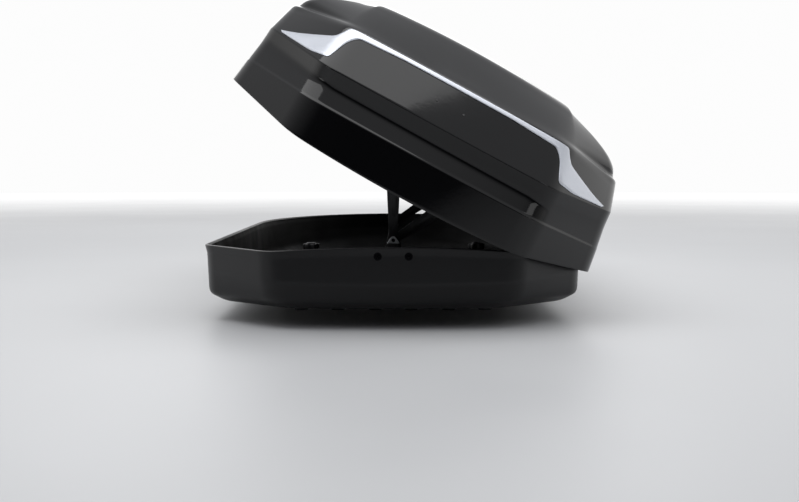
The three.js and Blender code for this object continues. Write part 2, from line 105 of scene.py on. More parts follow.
def linear(colour):  # an sRGB hex colour as linear RGBA
    channels = np.array([int(colour[i:i + 2], 16) for i in (1, 3, 5)]) / 255
    bright = ((channels + 0.055) / 1.055) ** 2.4
    return (*np.where(channels <= 0.04045, channels / 12.92, bright), 1.0)


def addNode(tree, kind, settings=(), inputs=(), links=()):
    made = tree.nodes.new(kind)
    for name, value in dict(settings).items():
        setattr(made, name, value)
    for name, value in dict(inputs).items():
        made.inputs[name].default_value = value
    for name, output in dict(links).items():
        tree.links.new(output, made.inputs[name])
    return made


softboxes = {  # place and aim in metres, width and depth in metres, watts
    "overhead": {"place": (0.1, -0.9, 3.3), "aim": (0, -0.6, 0.3), "size": (5.0, 2.6), "power": 78},
    "behind": {"place": (-0.3, 4.0, 2.4), "aim": (0, 0.3, 0.5), "size": (4.5, 1.4), "power": 34},
    "left": {"place": (-3.4, -2.2, 0.5), "aim": (-0.2, -0.9, 0.3), "size": (1.0, 0.7), "power": 3},
    "right": {"place": (3.2, -2.6, 1.5), "aim": (0.3, -0.9, 0.3), "size": (0.7, 1.8), "power": 5},
}
sky = {"ahead": "#ffffff", "behind": "#3c3d40", "above": "#d4d5d8", "strength": 0.98}


def lightStudio():
    # The sky is white ahead of the box's nose, grey behind its tail and pale overhead.
    world = bpy.data.worlds.new("studio")
    bpy.context.scene.world = world
    world.use_nodes = True
    tree = world.node_tree
    tree.nodes.clear()
    way = addNode(tree, "ShaderNodeTexCoord").outputs["Generated"]
    parts = addNode(tree, "ShaderNodeSeparateXYZ", links={"Vector": way})
    along = addNode(tree, "ShaderNodeMapRange", {"interpolation_type": "SMOOTHSTEP"}, {1: -0.6, 2: 0.5},
                    {0: parts.outputs["Y"]})
    height = addNode(tree, "ShaderNodeMapRange", {"interpolation_type": "SMOOTHSTEP"}, {1: 0.15, 2: 0.75},
                     {0: parts.outputs["Z"]})
    level = addNode(tree, "ShaderNodeMix", {"data_type": "RGBA"}, links={0: along.outputs[0]})
    level.inputs[6].default_value = linear(sky["behind"])
    level.inputs[7].default_value = linear(sky["ahead"])
    dome = addNode(tree, "ShaderNodeMix", {"data_type": "RGBA"},
                   links={0: height.outputs[0], 6: level.outputs[2]})
    dome.inputs[7].default_value = linear(sky["above"])
    shade = addNode(tree, "ShaderNodeBackground", {}, {"Strength": sky["strength"]},
                    {"Color": dome.outputs[2]})
    addNode(tree, "ShaderNodeOutputWorld", links={"Surface": shade.outputs[0]})
    for name, box in softboxes.items():
        data = bpy.data.lights.new(name, "AREA")
        data.shape = "RECTANGLE"
        data.size, data.size_y = box["size"]
        data.energy = box["power"]
        light = bpy.data.objects.new(name, data)
        light.location = box["place"]
        aim = light.location.__class__(box["aim"]) - light.location
        light.rotation_euler = aim.to_track_quat("-Z", "Y").to_euler()
        bpy.context.scene.collection.objects.link(light)


lightStudio()


def finish(name, look):
    # Object coordinates in metres. Colour and roughness drift over patches, and the grain is a bump
    # whose size and depth are the real ones in millimetres.
    material = bpy.data.materials.new(name)
    material.use_nodes = True
    tree = material.node_tree
    shader = tree.nodes["Principled BSDF"]
    shader.inputs["IOR"].default_value = look.get("ior", 1.5)
    shader.inputs["Metallic"].default_value = look.get("metallic", 0.0)
    shader.inputs["Specular IOR Level"].default_value = look.get("specular", 0.5)
    place = addNode(tree, "ShaderNodeTexCoord").outputs["Object"]
    stretch = addNode(tree, "ShaderNodeMapping", links={"Vector": place})
    stretch.inputs["Scale"].default_value = look.get("stretch", (1, 1, 1))
    patch = addNode(tree, "ShaderNodeTexNoise", {}, {"Scale": 1 / (look["patch"] * mm), "Detail": 4.0},
                    {"Vector": place}).outputs[0]
    grain = addNode(tree, "ShaderNodeTexNoise", {}, {"Scale": 1 / (look["grain"] * mm), "Detail": 2.0},
                    {"Vector": stretch.outputs[0]}).outputs[0]
    colour = addNode(tree, "ShaderNodeMix", {"data_type": "RGBA"}, links={0: patch})
    colour.inputs[6].default_value = linear(look["colours"][0])
    colour.inputs[7].default_value = linear(look["colours"][1])
    rough = addNode(tree, "ShaderNodeMapRange", inputs={1: 0.3, 2: 0.7, 3: look["roughness"][0],
                    4: look["roughness"][1]}, links={0: patch}).outputs[0]
    tint = colour.outputs[2]
    if "worn" in look:  # scuffs along creases and rims, from the edge attribute
        edge = addNode(tree, "ShaderNodeAttribute", {"attribute_name": "edge"}).outputs["Fac"]
        fine = 1 / (look["worn"]["size"] * mm)
        fleck = addNode(tree, "ShaderNodeTexNoise", {}, {"Scale": fine, "Detail": 6.0},
                        {"Vector": place}).outputs[0]
        speck = addNode(tree, "ShaderNodeMapRange", inputs={1: 0.55, 2: 0.75}, links={0: fleck}).outputs[0]
        amount = addNode(tree, "ShaderNodeMath", {"operation": "MULTIPLY"},
                         links={0: edge, 1: speck}).outputs[0]
        scuff = addNode(tree, "ShaderNodeMix", {"data_type": "RGBA"}, links={0: amount, 6: tint})
        scuff.inputs[7].default_value = linear(look["worn"]["colour"])
        tint = scuff.outputs[2]
        rough = addNode(tree, "ShaderNodeMath", {"operation": "MULTIPLY_ADD"}, {1: look["worn"]["roughen"]},
                        {0: amount, 2: rough}).outputs[0]
    if "flake" in look:  # bright specks in a lacquer or a plating
        cell = addNode(tree, "ShaderNodeTexVoronoi", {}, {"Scale": 1 / (look["flake"]["size"] * mm)},
                       {"Vector": stretch.outputs[0]}).outputs["Color"]
        level = addNode(tree, "ShaderNodeSeparateColor", links={0: cell}).outputs[0]
        most = look["flake"]["amount"]
        bright = addNode(tree, "ShaderNodeMapRange", inputs={1: 0.0, 2: 1.0, 3: 0.0, 4: most},
                         links={0: level}).outputs[0]
        sparkle = addNode(tree, "ShaderNodeMix", {"data_type": "RGBA"}, links={0: bright, 6: tint})
        sparkle.inputs[7].default_value = linear(look["flake"]["colour"])
        tint = sparkle.outputs[2]
    bump = addNode(tree, "ShaderNodeBump", {}, {"Strength": 1.0, "Distance": look["depth"] * mm},
                   {"Height": grain}).outputs[0]
    tree.links.new(tint, shader.inputs["Base Color"])
    tree.links.new(rough, shader.inputs["Roughness"])
    tree.links.new(bump, shader.inputs["Normal"])
    return material


# Acrylic-capped ABS sheet, vacuum formed: deep gloss, faintly wavy, with fine scuffs where it is handled.
glossAbs = finish("glossBlackAcrylicAbs", {
    "ior": 1.49, "specular": 0.4, "colours": ("#030304", "#050506"), "patch": 160, "roughness": (0.06, 0.1),
    "grain": 14, "depth": 0.04, "worn": {"size": 2.5, "colour": "#232426", "roughen": 0.2}})
# The uncoated side of the same sheet: matt, with the haircell grain of the roll, drawn a little coarse.
rawAbs = finish("haircellBlackAbs", {
    "ior": 1.5, "specular": 0.12, "colours": ("#040405", "#060607"), "patch": 90, "roughness": (0.55, 0.7),
    "grain": 1.6, "depth": 0.12})
# Grained ABS of the tray: satin, a fine leather grain that breaks the highlights up.
satinAbs = finish("satinGrainedAbs", {
    "ior": 1.5, "specular": 0.3, "colours": ("#08080a", "#0d0d0f"), "patch": 120, "roughness": (0.3, 0.38),
    "grain": 1.8, "depth": 0.06, "worn": {"size": 2, "colour": "#2c2d2f", "roughen": 0.2}})
# Silver-lacquered ABS: aluminium flake under clear lacquer, soft and bright. Flakes drawn coarse.
silverLacquer = finish("silverFlakeLacquer", {
    "metallic": 0.6, "ior": 1.5, "colours": ("#c6cad3", "#d2d6de"), "patch": 60, "roughness": (0.26, 0.34),
    "grain": 5, "depth": 0.01, "flake": {"size": 0.7, "amount": 0.35, "colour": "#e8ebf0"}})
# Glass-filled nylon: moulded, matt, faint grey swirls of fibre along the flow.
fibreNylon = finish("glassFilledNylon", {
    "ior": 1.53, "colours": ("#151516", "#232325"), "patch": 9, "roughness": (0.42, 0.58),
    "grain": 0.9, "depth": 0.05, "stretch": (1, 0.4, 1)})
# Black powder coat on steel: satin with a small orange peel.
powderCoat = finish("blackPowderCoat", {
    "ior": 1.5, "colours": ("#151517", "#1b1b1d"), "patch": 25, "roughness": (0.3, 0.42),
    "grain": 1.5, "depth": 0.05, "flake": {"size": 0.8, "amount": 0.06, "colour": "#6c6d70"}})
# Zinc plate on pressed steel: bright, faintly bluish, drawn marks along the length.
zincPlate = finish("brightZincPlate", {
    "metallic": 1.0, "colours": ("#b9bec4", "#d3d5d4"), "patch": 12, "roughness": (0.22, 0.36),
    "grain": 0.8, "depth": 0.02, "stretch": (1, 0.1, 1),
    "flake": {"size": 3, "amount": 0.25, "colour": "#e9ecef"}})
# Zinc plate on the lifter's ear, painted paler than the zinc elsewhere, as if lit, so that it shows against
# the dark inside: painted light. Softer too.
paintedLitZinc = finish("zincPlatePaintedLight", {
    "metallic": 0.5, "colours": ("#dfe2e5", "#eef0f0"), "patch": 8, "roughness": (0.42, 0.55),
    "grain": 0.8, "depth": 0.02, "flake": {"size": 2, "amount": 0.2, "colour": "#f4f5f6"}})
# Black oxide on steel screws: dark, oily, worn brighter here and there.
blackOxide = finish("blackOxideSteel", {
    "metallic": 1.0, "colours": ("#08080a", "#121214"), "patch": 3, "roughness": (0.4, 0.55),
    "grain": 0.6, "depth": 0.02})
# Natural acetal: milky, waxy, smooth from the mould.
acetal = finish("naturalAcetal", {
    "ior": 1.48, "colours": ("#d6d3c8", "#e2e0d8"), "patch": 6, "roughness": (0.32, 0.42),
    "grain": 1.2, "depth": 0.01})
# Painted studio floor: pale and satin, with a faint drift of tone over a metre or so.
floorPaint = finish("palePaintedFloor", {
    "ior": 1.45, "colours": ("#c3c4c6", "#c9cacb"), "patch": 700, "roughness": (0.42, 0.5),
    "grain": 3, "depth": 0.02})
print("finishes made")


# A part is a pair: its points in millimetres, and a list of arrays of faces.
def quads(rows, columns, closedRows=False, closedColumns=True):
    # face (r, c) joins the points r,c  r,c+1  r+1,c+1  r+1,c of a grid
    r = np.arange(rows if closedRows else rows - 1)
    c = np.arange(columns if closedColumns else columns - 1)
    r, c = np.meshgrid(r, c, indexing="ij")
    up, on = (r + 1) % rows, (c + 1) % columns
    corners = [r * columns + c, r * columns + on, up * columns + on, up * columns + c]
    return np.stack(corners, -1).reshape(-1, 4)


def rounded(points, reach, steps=5, closed=True):
    # Each corner turns into the curve (1-t)^2 a + 2t(1-t) corner + t^2 b between the places a and b
    # that lie a reach before and after it, with one more point a little way out on each straight.
    points = np.asarray(points, float)
    corner = points if closed else points[1:-1]
    before = np.roll(points, 1, 0) if closed else points[:-2]
    after = np.roll(points, -1, 0) if closed else points[2:]
    reach = np.broadcast_to(np.asarray(reach, float), len(corner))[:, None]
    marks = []
    for other in (before, after):
        length = np.linalg.norm(other - corner, axis=1, keepdims=True)
        share = np.minimum(reach / length, 0.42)
        hold = np.minimum(share * 1.6, 0.48)
        marks.append((corner + (other - corner) * hold, corner + (other - corner) * share))
    (holdA, a), (holdB, b) = marks
    t = np.linspace(0, 1, steps)[None, :, None]
    curve = (1 - t) ** 2 * a[:, None] + 2 * t * (1 - t) * corner[:, None] + t ** 2 * b[:, None]
    curve = np.concatenate([holdA[:, None], curve, holdB[:, None]], 1).reshape(-1, points.shape[1])
    return curve if closed else np.concatenate([points[:1], curve, points[-1:]])


def circle(radius, count=48):  # radius (cos a, sin a)
    angle = np.arange(count) / count * 2 * np.pi
    return radius * np.stack([np.cos(angle), np.sin(angle)], 1)


def box2(halfA, halfB, radius, steps=6):
    return rounded([(halfA, halfB), (-halfA, halfB), (-halfA, -halfB), (halfA, -halfB)], radius, steps)


def strip(a, b, radius):  # a rectangle between two ranges, with rounded corners
    (a0, a1), (b0, b1) = a, b
    return rounded([(a1, b1), (a0, b1), (a0, b0), (a1, b0)], radius)


def arcBand(inner, outer, start, end, count=24):  # out along one arc, in degrees, and back along another
    angle = np.radians(np.linspace(start, end, count))
    arc = np.stack([np.cos(angle), np.sin(angle)], 1)
    return np.concatenate([outer * arc, inner * arc[::-1]])


def slab(outline, low, high, edge=0.6, hole=None):
    # The outline pushed from low to high. At both ends it shrinks by edge(1 - sin a) while it climbs
    # edge(1 - cos a), a quarter circle. A hole with as many points grows by the same rule.
    angle = np.linspace(0, np.pi / 2, 4)
    shrink, climb = edge * (1 - np.sin(angle)), edge * (1 - np.cos(angle))
    shrink = np.concatenate([shrink, shrink[::-1]])
    level = np.concatenate([low + climb, high - climb[::-1]])

    def wall(line, sign):
        line = np.asarray(line, float)
        area = np.sum(line[:, 0] * np.roll(line[:, 1], -1) - line[:, 1] * np.roll(line[:, 0], -1))
        ahead = np.roll(line, -1, 0) - np.roll(line, 1, 0)
        ahead /= np.linalg.norm(ahead, axis=1, keepdims=True) * np.sign(area)
        out = np.stack([ahead[:, 1], -ahead[:, 0]], 1)
        flat = line[None] - sign * shrink[:, None, None] * out[None]
        return np.concatenate([flat, np.broadcast_to(level[:, None, None], (*flat.shape[:2], 1))], 2)

    rows = wall(outline, 1)
    count = rows.shape[1]
    if hole is not None:
        rows = np.concatenate([rows, wall(hole, -1)[::-1]])
        return rows.reshape(-1, 3), [quads(len(rows), count, closedRows=True)]
    ends = np.arange(count)
    faces = [quads(len(rows), count), ends[None, ::-1], ends[None] + (len(rows) - 1) * count]
    return rows.reshape(-1, 3), faces


def turnedPart(profile, count=48):
    # (radius, height) pairs carried round the upright axis: x = r cos a, y = r sin a
    profile = np.maximum(np.asarray(profile, float), [0.01, -1e9])
    angle = np.arange(count) / count * 2 * np.pi
    x, y = profile[:, :1] * np.cos(angle), profile[:, :1] * np.sin(angle)
    rows = np.stack([x, y, np.broadcast_to(profile[:, 1:], x.shape)], -1)
    ends = np.arange(count)
    faces = [quads(len(profile), count), ends[None, ::-1], ends[None] + (len(profile) - 1) * count]
    return rows.reshape(-1, 3), faces


def screwHead(radius, height, recess, depth, count=60):
    # A domed head whose recess has the outline recess(a). Rows run from the recess floor up its wall,
    # over the dome (height falls with the square of the way out) and down the rim.
    angle = np.arange(count) / count * 2 * np.pi
    inner = recess(angle)
    rise = height * 0.45
    rows = [(inner * 0.05, height - depth), (inner * 0.9, height - depth), (inner, height)]
    for way in (0.2, 0.45, 0.7, 0.88, 0.97):
        rows.append((inner + (radius - inner) * way, height - rise * way ** 2))
    side = 0 * inner + radius
    rows += [(side, height - rise * 1.15), (side, 0.3), (side * 0.96, 0.0)]
    grid = np.stack([np.stack([r * np.cos(angle), r * np.sin(angle), 0 * r + h], 1) for r, h in rows])
    ends = np.arange(count)
    faces = [quads(len(rows), count), ends[None, ::-1], ends[None] + (len(rows) - 1) * count]
    return grid.reshape(-1, 3), faces


def crossRecess(size):  # a cross's outline: size (0.38 + 0.62 |cos 2a|^5) round the angle a
    return lambda angle: size * (0.38 + 0.62 * np.abs(np.cos(2 * angle)) ** 5)


def lay(part, axis="z", at=(0, 0, 0), angle=0.0):
    # Puts the drawing's third direction along an axis (the first two then run along the other axes
    # in order), turns it about Y and moves it.
    points, faces = part
    order = {"x": [2, 0, 1], "y": [0, 2, 1], "z": [0, 1, 2]}[axis]
    return turn(points[:, order], angle) + np.asarray(at, float), faces


def mirrored(part, side, at=(0, 0, 0)):  # in x when the side is -1, then moved
    return part[0] * [side, 1, 1] + np.asarray(at, float), part[1]


def makePiece(name, parts, material, body, onLid=False, sheetOf=None, edge=None):
    start, points, faces = 0, [], []
    for partPoints, partFaces in parts:
        points.append(partPoints)
        faces += [face for array in partFaces for face in (array + start).tolist()]
        start += len(partPoints)
    points = np.concatenate(points)
    if onLid:
        points = swungOpen(points)
    mesh = bpy.data.meshes.new(name)
    mesh.from_pydata(points * mm, [], faces)
    mesh.materials.append(material)
    if edge is not None:
        mesh.attributes.new("edge", "FLOAT", "POINT").data.foreach_set("value", edge.astype(np.float32))
    if sheetOf is None:  # closed parts: faces outwards
        work = bmesh.new()
        work.from_mesh(mesh)
        bmesh.ops.recalc_face_normals(work, faces=work.faces)
        work.to_mesh(mesh)
        work.free()
    mesh.shade_smooth()
    mesh.set_sharp_from_angle(angle=np.radians(34))
    piece = bpy.data.objects.new(name, mesh)
    bpy.context.scene.collection.objects.link(piece)
    if sheetOf is not None:
        wall = piece.modifiers.new("wall", "SOLIDIFY")
        wall.thickness = sheetOf["wall"] * mm
        wall.offset = -1
        if "inside" in sheetOf:
            mesh.materials.append(sheetOf["inside"])
            wall.material_offset = 1
    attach(piece, body)
    return piece


def stands(piece, *nodes):
    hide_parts(*nodes)
    return piece


# The moulded shells. A line that runs round a shell is nine numbers: half width at the side, half
# width of the rear face, y of the rear middle, depth of the cut-off corner, y of the nose, and z at
# the rear middle, the rear corner, the side and the nose.
straightEnd = 300  # the sides are parallel as far forward as this
cornerReach = {"rear": (0.13, 0.15), "side": (0.13, 0.025)}  # in shares of the two stretches that meet


def onLine(lines, s, bulge):
    # s runs 0 to 1 across the rear, to 2 along the cut-off corner, to 3 along the side, to 4 round the
    # nose. Rear: x = rear s, y = back + bulge s^2. Corner and side: straight. Nose, with a = sin of a
    # quarter turn's share: x = side (1 - a^2.2)^(1/1.75), y straight in a, z straight in a^2.
    side, rear, back, cut, nose, zMiddle, zCorner, zSide, zNose = np.moveaxis(lines, -1, 0)
    t, u, v, w = (np.clip(s - k, 0, 1) for k in range(4))
    a = np.sin(w * np.pi / 2)
    x = rear * t + (side - rear) * u
    x = np.where(s > 3, side * np.maximum(1 - a ** 2.2, 0) ** (1 / 1.75), x)
    corner = back + bulge
    y = back + bulge * t ** 2 + cut * u + (straightEnd - corner - cut) * v + (nose - straightEnd) * a
    z = zMiddle + (zCorner - zMiddle) * t ** 2 + (zSide - zCorner) * u + (zNose - zSide) * a ** 2
    return np.stack([x, y, z], -1)


def onShell(lines, s, bulge):
    # The same, with the two corners of the outline rounded as in rounded().
    points = onLine(lines, s, bulge)
    for corner, (before, after) in ((1, cornerReach["rear"]), (2, cornerReach["side"])):
        t = np.clip((s - corner + before) / (before + after), 0, 1)[..., None]
        a, c, b = (onLine(lines, 0 * s + place, bulge) for place in (corner - before, corner, corner + after))
        curve = (1 - t) ** 2 * a + 2 * t * (1 - t) * c + t ** 2 * b
        near = ((s > corner - before) & (s < corner + after))[..., None]
        points = np.where(near, curve, points)
    return points


stretches = [(0, 0.86, 12), (0.86, 1.16, 12), (1.16, 1.86, 8), (1.86, 2.03, 12), (2.03, 3, 20)]
around = np.concatenate([np.linspace(a, b, n, endpoint=False) for a, b, n in stretches]
                        + [3 + np.linspace(0, 1, 44) ** 0.9])


def wholeShell(rows, bulge):
    half = onShell(rows[:, None, :], np.broadcast_to(around, (len(rows), len(around))), bulge)
    return np.concatenate([half, half[:, -2:0:-1] * [-1, 1, 1]], 1)


def softRows(grid, low, high, passes):  # running average up the rows low to high
    for _ in range(passes):
        grid[low:high] = (grid[low - 1:high - 1] + 2 * grid[low:high] + grid[low + 1:high + 1]) / 4
    return grid


lidLook = {
    "wall": 3.6, "bulge": 20, "crownY": 40, "crownZ": 440, "lip": 4,
    "lines": [  # nine numbers, then how far the bend at the line reaches and how much the line wears
        (461, 272, -1075, 200, 1070, 21, 31, 73, 92, 8, 1),
        (453, 272, -1073, 200, 1072, 112, 114, 128, 118, 2, 0.4),
        (452, 271, -1069, 199, 1072, 117, 119, 134, 122, 3, 0),
        (445.5, 270, -1055, 190, 1071, 148, 150, 176, 138, 14, 0),
        (444, 270, -1055, 190, 1071, 158, 160, 188, 146, 10, 0),
        (440, 270, -1075, 200, 1075, 188, 190, 216, 165, 4.5, 0.9),
        (431, 264, -999, 186, 1043, 292, 292, 275, 204, 14, 0.3),
        (427, 262, -990, 184, 1034, 297, 297, 289, 212, 14, 0.3),
        (418, 260, -978, 178, 1020, 304, 303, 292, 219, 60, 0),
        (408, 258, -965, 158, 1004, 312, 310, 312, 232, 60, 0),
        (389, 257, -937, 132, 985, 329, 326, 329, 248, 60, 0),
        (364, 256, -914, 108, 960, 343, 339, 342, 262, 60, 0),
        (326, 254, -889, 78, 925, 358, 353, 356, 278, 60, 0),
        (264, 251, -855, 30, 865, 378, 371, 372, 300, 16, 0.2),
        (249, 241, -830, 24, 845, 392, 384, 380, 314, 12, 0.3),
    ],
}


def roundedRows(table, ends):
    # The lines between the first and the last, each as the seven rows of its bend; wear peaks there.
    table = np.array(table, float)
    rows = rounded(table[:, :9], table[1:-1, 9], 5, closed=False)
    wear = table[1:-1, 10, None] * [0, 0.3, 0.8, 1, 0.8, 0.3, 0]
    return rows, np.concatenate([[ends[0]], wear.ravel(), [ends[1]]])


def makeLid(look):
    lines = np.array(look["lines"], float)
    lip = lines[0] + [-look["lip"], -2, look["lip"], 0, -look["lip"], 1.5, 1.5, 1.5, 1.5, 0, 0]
    rows, wear = roundedRows(np.vstack([lip, lines]), (0.6, 0.3))
    grid = wholeShell(rows, look["bulge"])
    # crown: each ring is the panel's edge drawn in to the peak by a share, z = peak + (edge - peak) share^2
    share = np.cos(np.linspace(0.12, 0.996, 27) * np.pi / 2)[:, None]
    peak = np.array([0, look["crownY"], look["crownZ"]], float)
    edge = grid[-1]
    crown = peak + (edge - peak)[None] * share[..., None]
    crown[..., 2] = peak[2] + (edge[:, 2] - peak[2]) * share ** 2
    edgeRow = len(grid)
    grid = softRows(np.concatenate([grid, crown]), edgeRow - 3, edgeRow + 3, 3)
    count = grid.shape[1]
    last = (len(grid) - 1) * count + np.arange(count)
    pole = np.full(count, grid.shape[0] * count)
    points = np.vstack([grid.reshape(-1, 3), peak])
    fan = np.stack([last, np.roll(last, -1), pole], 1)
    wear = np.concatenate([np.repeat(np.concatenate([wear, np.zeros(len(crown))]), count), [0]])
    wall = {"wall": look["wall"], "inside": rawAbs}
    piece = makePiece("lidShell", [(points, [quads(len(grid), count), fan])], glossAbs, "lid",
                      onLid=True, sheetOf=wall, edge=wear)
    stands(piece, "lid_shell")
    return grid


lidGrid = makeLid(lidLook)
print("lid made")


def lidFace(x, z):
    # The place on the upper rear face, ruled between the crease and the line above it, that has this x
    # and z: its share s along the lines and its height h between them are corrected in turn.
    low, high = (np.array(lidLook["lines"][k][:9], float) for k in (5, 6))
    across, s, h = np.abs(x), np.abs(x) / 268, 0 * x + 0.5

    def onFace(s, h):
        return onShell(low + (high - low) * h[..., None], s, lidLook["bulge"])

    for _ in range(30):
        here, step = onFace(s, h), 1e-3
        s = np.clip(s + (across - here[..., 0]) / ((onFace(s + step, h) - here)[..., 0] / step), 0, 1.98)
        here = onFace(s, h)
        h = h + (z - here[..., 2]) / ((onFace(s, h + step) - here)[..., 2] / step)
    here = onFace(s, h)
    out = np.cross(onFace(s + 1e-3, h) - here, onFace(s, h + 1e-3) - here)
    out /= np.linalg.norm(out, axis=-1, keepdims=True)
    flip = np.stack([np.where(x < 0, -1.0, 1.0), 1 + 0 * x, 1 + 0 * x], -1)
    return here * flip, out * flip


bandLook = {
    "thickness": 1.7, "lift": 0.9, "columns": 14,
    # cross lines of the right-hand half: outer x and z, inner x and z
    "rows": [(0, 290, 0, 281), (130, 290, 130, 281), (250, 290, 238, 276), (269, 289, 251, 266),
             (277, 274, 261, 252), (290, 258, 269, 230), (325, 245, 278, 209), (365, 231, 320, 205),
             (409, 218.6, 403, 214)],
}


def makeBand(look):
    # The band follows the lid's face. Across it, c from 0 to 1, the front stands off by
    # lift + thickness (1 - |2c-1|^6)^(1/4) and the back by lift.
    right = rounded(look["rows"], 11, 7, closed=False)
    place = np.arange(len(right))
    fine = np.linspace(0, len(right) - 1, 3 * len(right))
    right = np.stack([np.interp(fine, place, column) for column in right.T], 1)
    whole = np.concatenate([right[:0:-1] * [-1, 1, -1, 1], right])
    c = np.concatenate([np.linspace(0, 1, look["columns"]), np.linspace(1, 0, look["columns"])])
    front = look["thickness"] * (1 - np.abs(2 * c - 1) ** 6) ** 0.25
    lift = look["lift"] + np.where(np.arange(len(c)) < look["columns"], front, -0.2)
    outer, inner = whole[:, None, :2], whole[:, None, 2:]
    flat = outer + (inner - outer) * c[None, :, None]
    face, out = lidFace(flat[..., 0], flat[..., 1])
    points = face + out * lift[None, :, None]
    count = len(c)
    ends = np.arange(count)
    faces = [quads(len(points), count), ends[None, ::-1], ends[None] + (len(points) - 1) * count]
    piece = makePiece("trimBand", [(points.reshape(-1, 3), faces)], silverLacquer, "lid",
                      onLid=True)
    return stands(piece, "trim_band")


makeBand(bandLook)


def makePlugs(x=32, z=238, radius=2.6):  # two blanking plugs on the upper rear face
    for hand, side in hands.items():
        face, out = lidFace(np.array([side * x * 1.0]), np.array([z * 1.0]))
        head = turnedPart([(0, -1.5), (radius, -1.5), (radius, 0.3), (radius * 0.85, 0.7), (0, 0.8)], 24)
        tilt = np.arctan2(out[0, 2], -out[0, 1])
        points = head[0][:, [0, 2, 1]] * [1, -1, 1]
        leaned = np.stack([points[:, 0], points[:, 1] * np.cos(tilt) + points[:, 2] * np.sin(tilt),
                           -points[:, 1] * np.sin(tilt) + points[:, 2] * np.cos(tilt)], 1)
        makePiece(f"rearPlug_{hand}", [(leaned + face[0], head[1])], fibreNylon, "lid",
                  onLid=True)


makePlugs()

trayLook = {
    "wall": 4, "bulge": 18, "ribs": (40, 123, 204), "ribHalf": 16, "ribDepth": 9, "ribEnds": (-930, 560),
    "slotHalf": 15, "slotEnds": (-72, 60),
    "lines": [
        (385, 232, -1000, 150, 900, 0, 0, 0, 0, 40, 0.2),
        (425, 258, -1024, 172, 985, 18, 20, 20, 48, 26, 0.3),
        (427, 266, -1040, 186, 1012, 55, 61, 74, 82, 10, 0.4),
        (429, 267, -1040, 188, 1022, 120, 111, 112, 116, 6, 0.2),
        (434, 268, -1042, 190, 1030, 137, 126, 130, 132, 5, 1),
        (429, 265, -1037, 190, 1025, 139, 128, 132, 134, 5, 0.6),
        (426, 263, -1033, 190, 1022, 134, 123, 127, 129, 1, 0),
    ],
}
clampNames = [f"{end}_{hand}" for end in ("rear", "front") for hand in hands]


def makeTray(look):
    lines = np.array(look["lines"], float)
    floorLine = lines[0].copy()
    floorLine[[0, 1, 2, 3, 4]] *= [0.93, 0.93, 0.95, 0.95, 0.94]
    rows, wear = roundedRows(np.vstack([floorLine, lines]), (0, 0))
    grid = wholeShell(rows, look["bulge"])
    share = np.linspace(0.04, 1, 14, endpoint=False)
    floor = grid[0][None] * share[:, None, None]
    grid = np.concatenate([floor, grid])
    count = grid.shape[1]
    first = np.arange(count)
    pole = np.full(count, grid.shape[0] * count)
    fan = np.stack([pole, np.roll(first, -1), first], 1)
    points = np.vstack([grid.reshape(-1, 3), [0, 0, 0]])
    wear = np.concatenate([np.repeat(np.concatenate([np.zeros(len(floor)), wear]), count), [0]])
    piece = makePiece("trayShell", [(points, [quads(len(grid), count), fan])], satinAbs, "tray",
                      sheetOf={"wall": look["wall"], "inside": rawAbs}, edge=wear)
    cutters = []
    for name in clampNames:  # the slots that the clamps' jaws slide in
        x, y, _ = middle(f"clamp_knob_{name}")
        slot = strip((-look["slotHalf"], look["slotHalf"]), look["slotEnds"], 4)
        cutters.append(lay(slab(slot, -20, 20), at=(x, y, 0)))
    cutter = makePiece("slotCutter", cutters, satinAbs, "tray")
    cut = piece.modifiers.new("slots", "BOOLEAN")
    cut.object = cutter
    cut.operation = "DIFFERENCE"
    cut.solver = "EXACT"
    bpy.context.view_layer.update()
    made = bpy.data.meshes.new_from_object(piece.evaluated_get(bpy.context.evaluated_depsgraph_get()))
    piece.modifiers.clear()
    piece.data = made
    made.set_sharp_from_angle(angle=np.radians(34))
    bpy.data.objects.remove(cutter)
    ribs = []
    for x in look["ribs"]:
        for side in (-1, 1):
            outline = strip((side * x - look["ribHalf"], side * x + look["ribHalf"]), look["ribEnds"], 14)
            ribs.append(slab(outline, -look["ribDepth"], 0.4, 3.5))
    makePiece("floorRibs", ribs, satinAbs, "tray")
    return stands(piece, "tray_shell")


makeTray(trayLook)
print("tray and band made")


# Hinges and latches are drawn for the right-hand side about the hinge axis and mirrored
hingeLook = {"pin": 3, "bush": 4.3, "claw": 6.2, "saddle": 8.2, "gap": 0.3, "ear": 6.5, "half": 34}
places = ("rear", "middle", "front")
stationY = {place: middle(f"hinge_pin_right_{place}")[1] for place in places}


def rivet(radius, height):
    way = np.linspace(0, 1, 6)
    dome = np.stack([radius * np.cos(way * np.pi / 2), height * np.sin(way * np.pi / 2)], 1)
    return turnedPart(np.vstack([[(radius, -0.4)], dome]), 28)


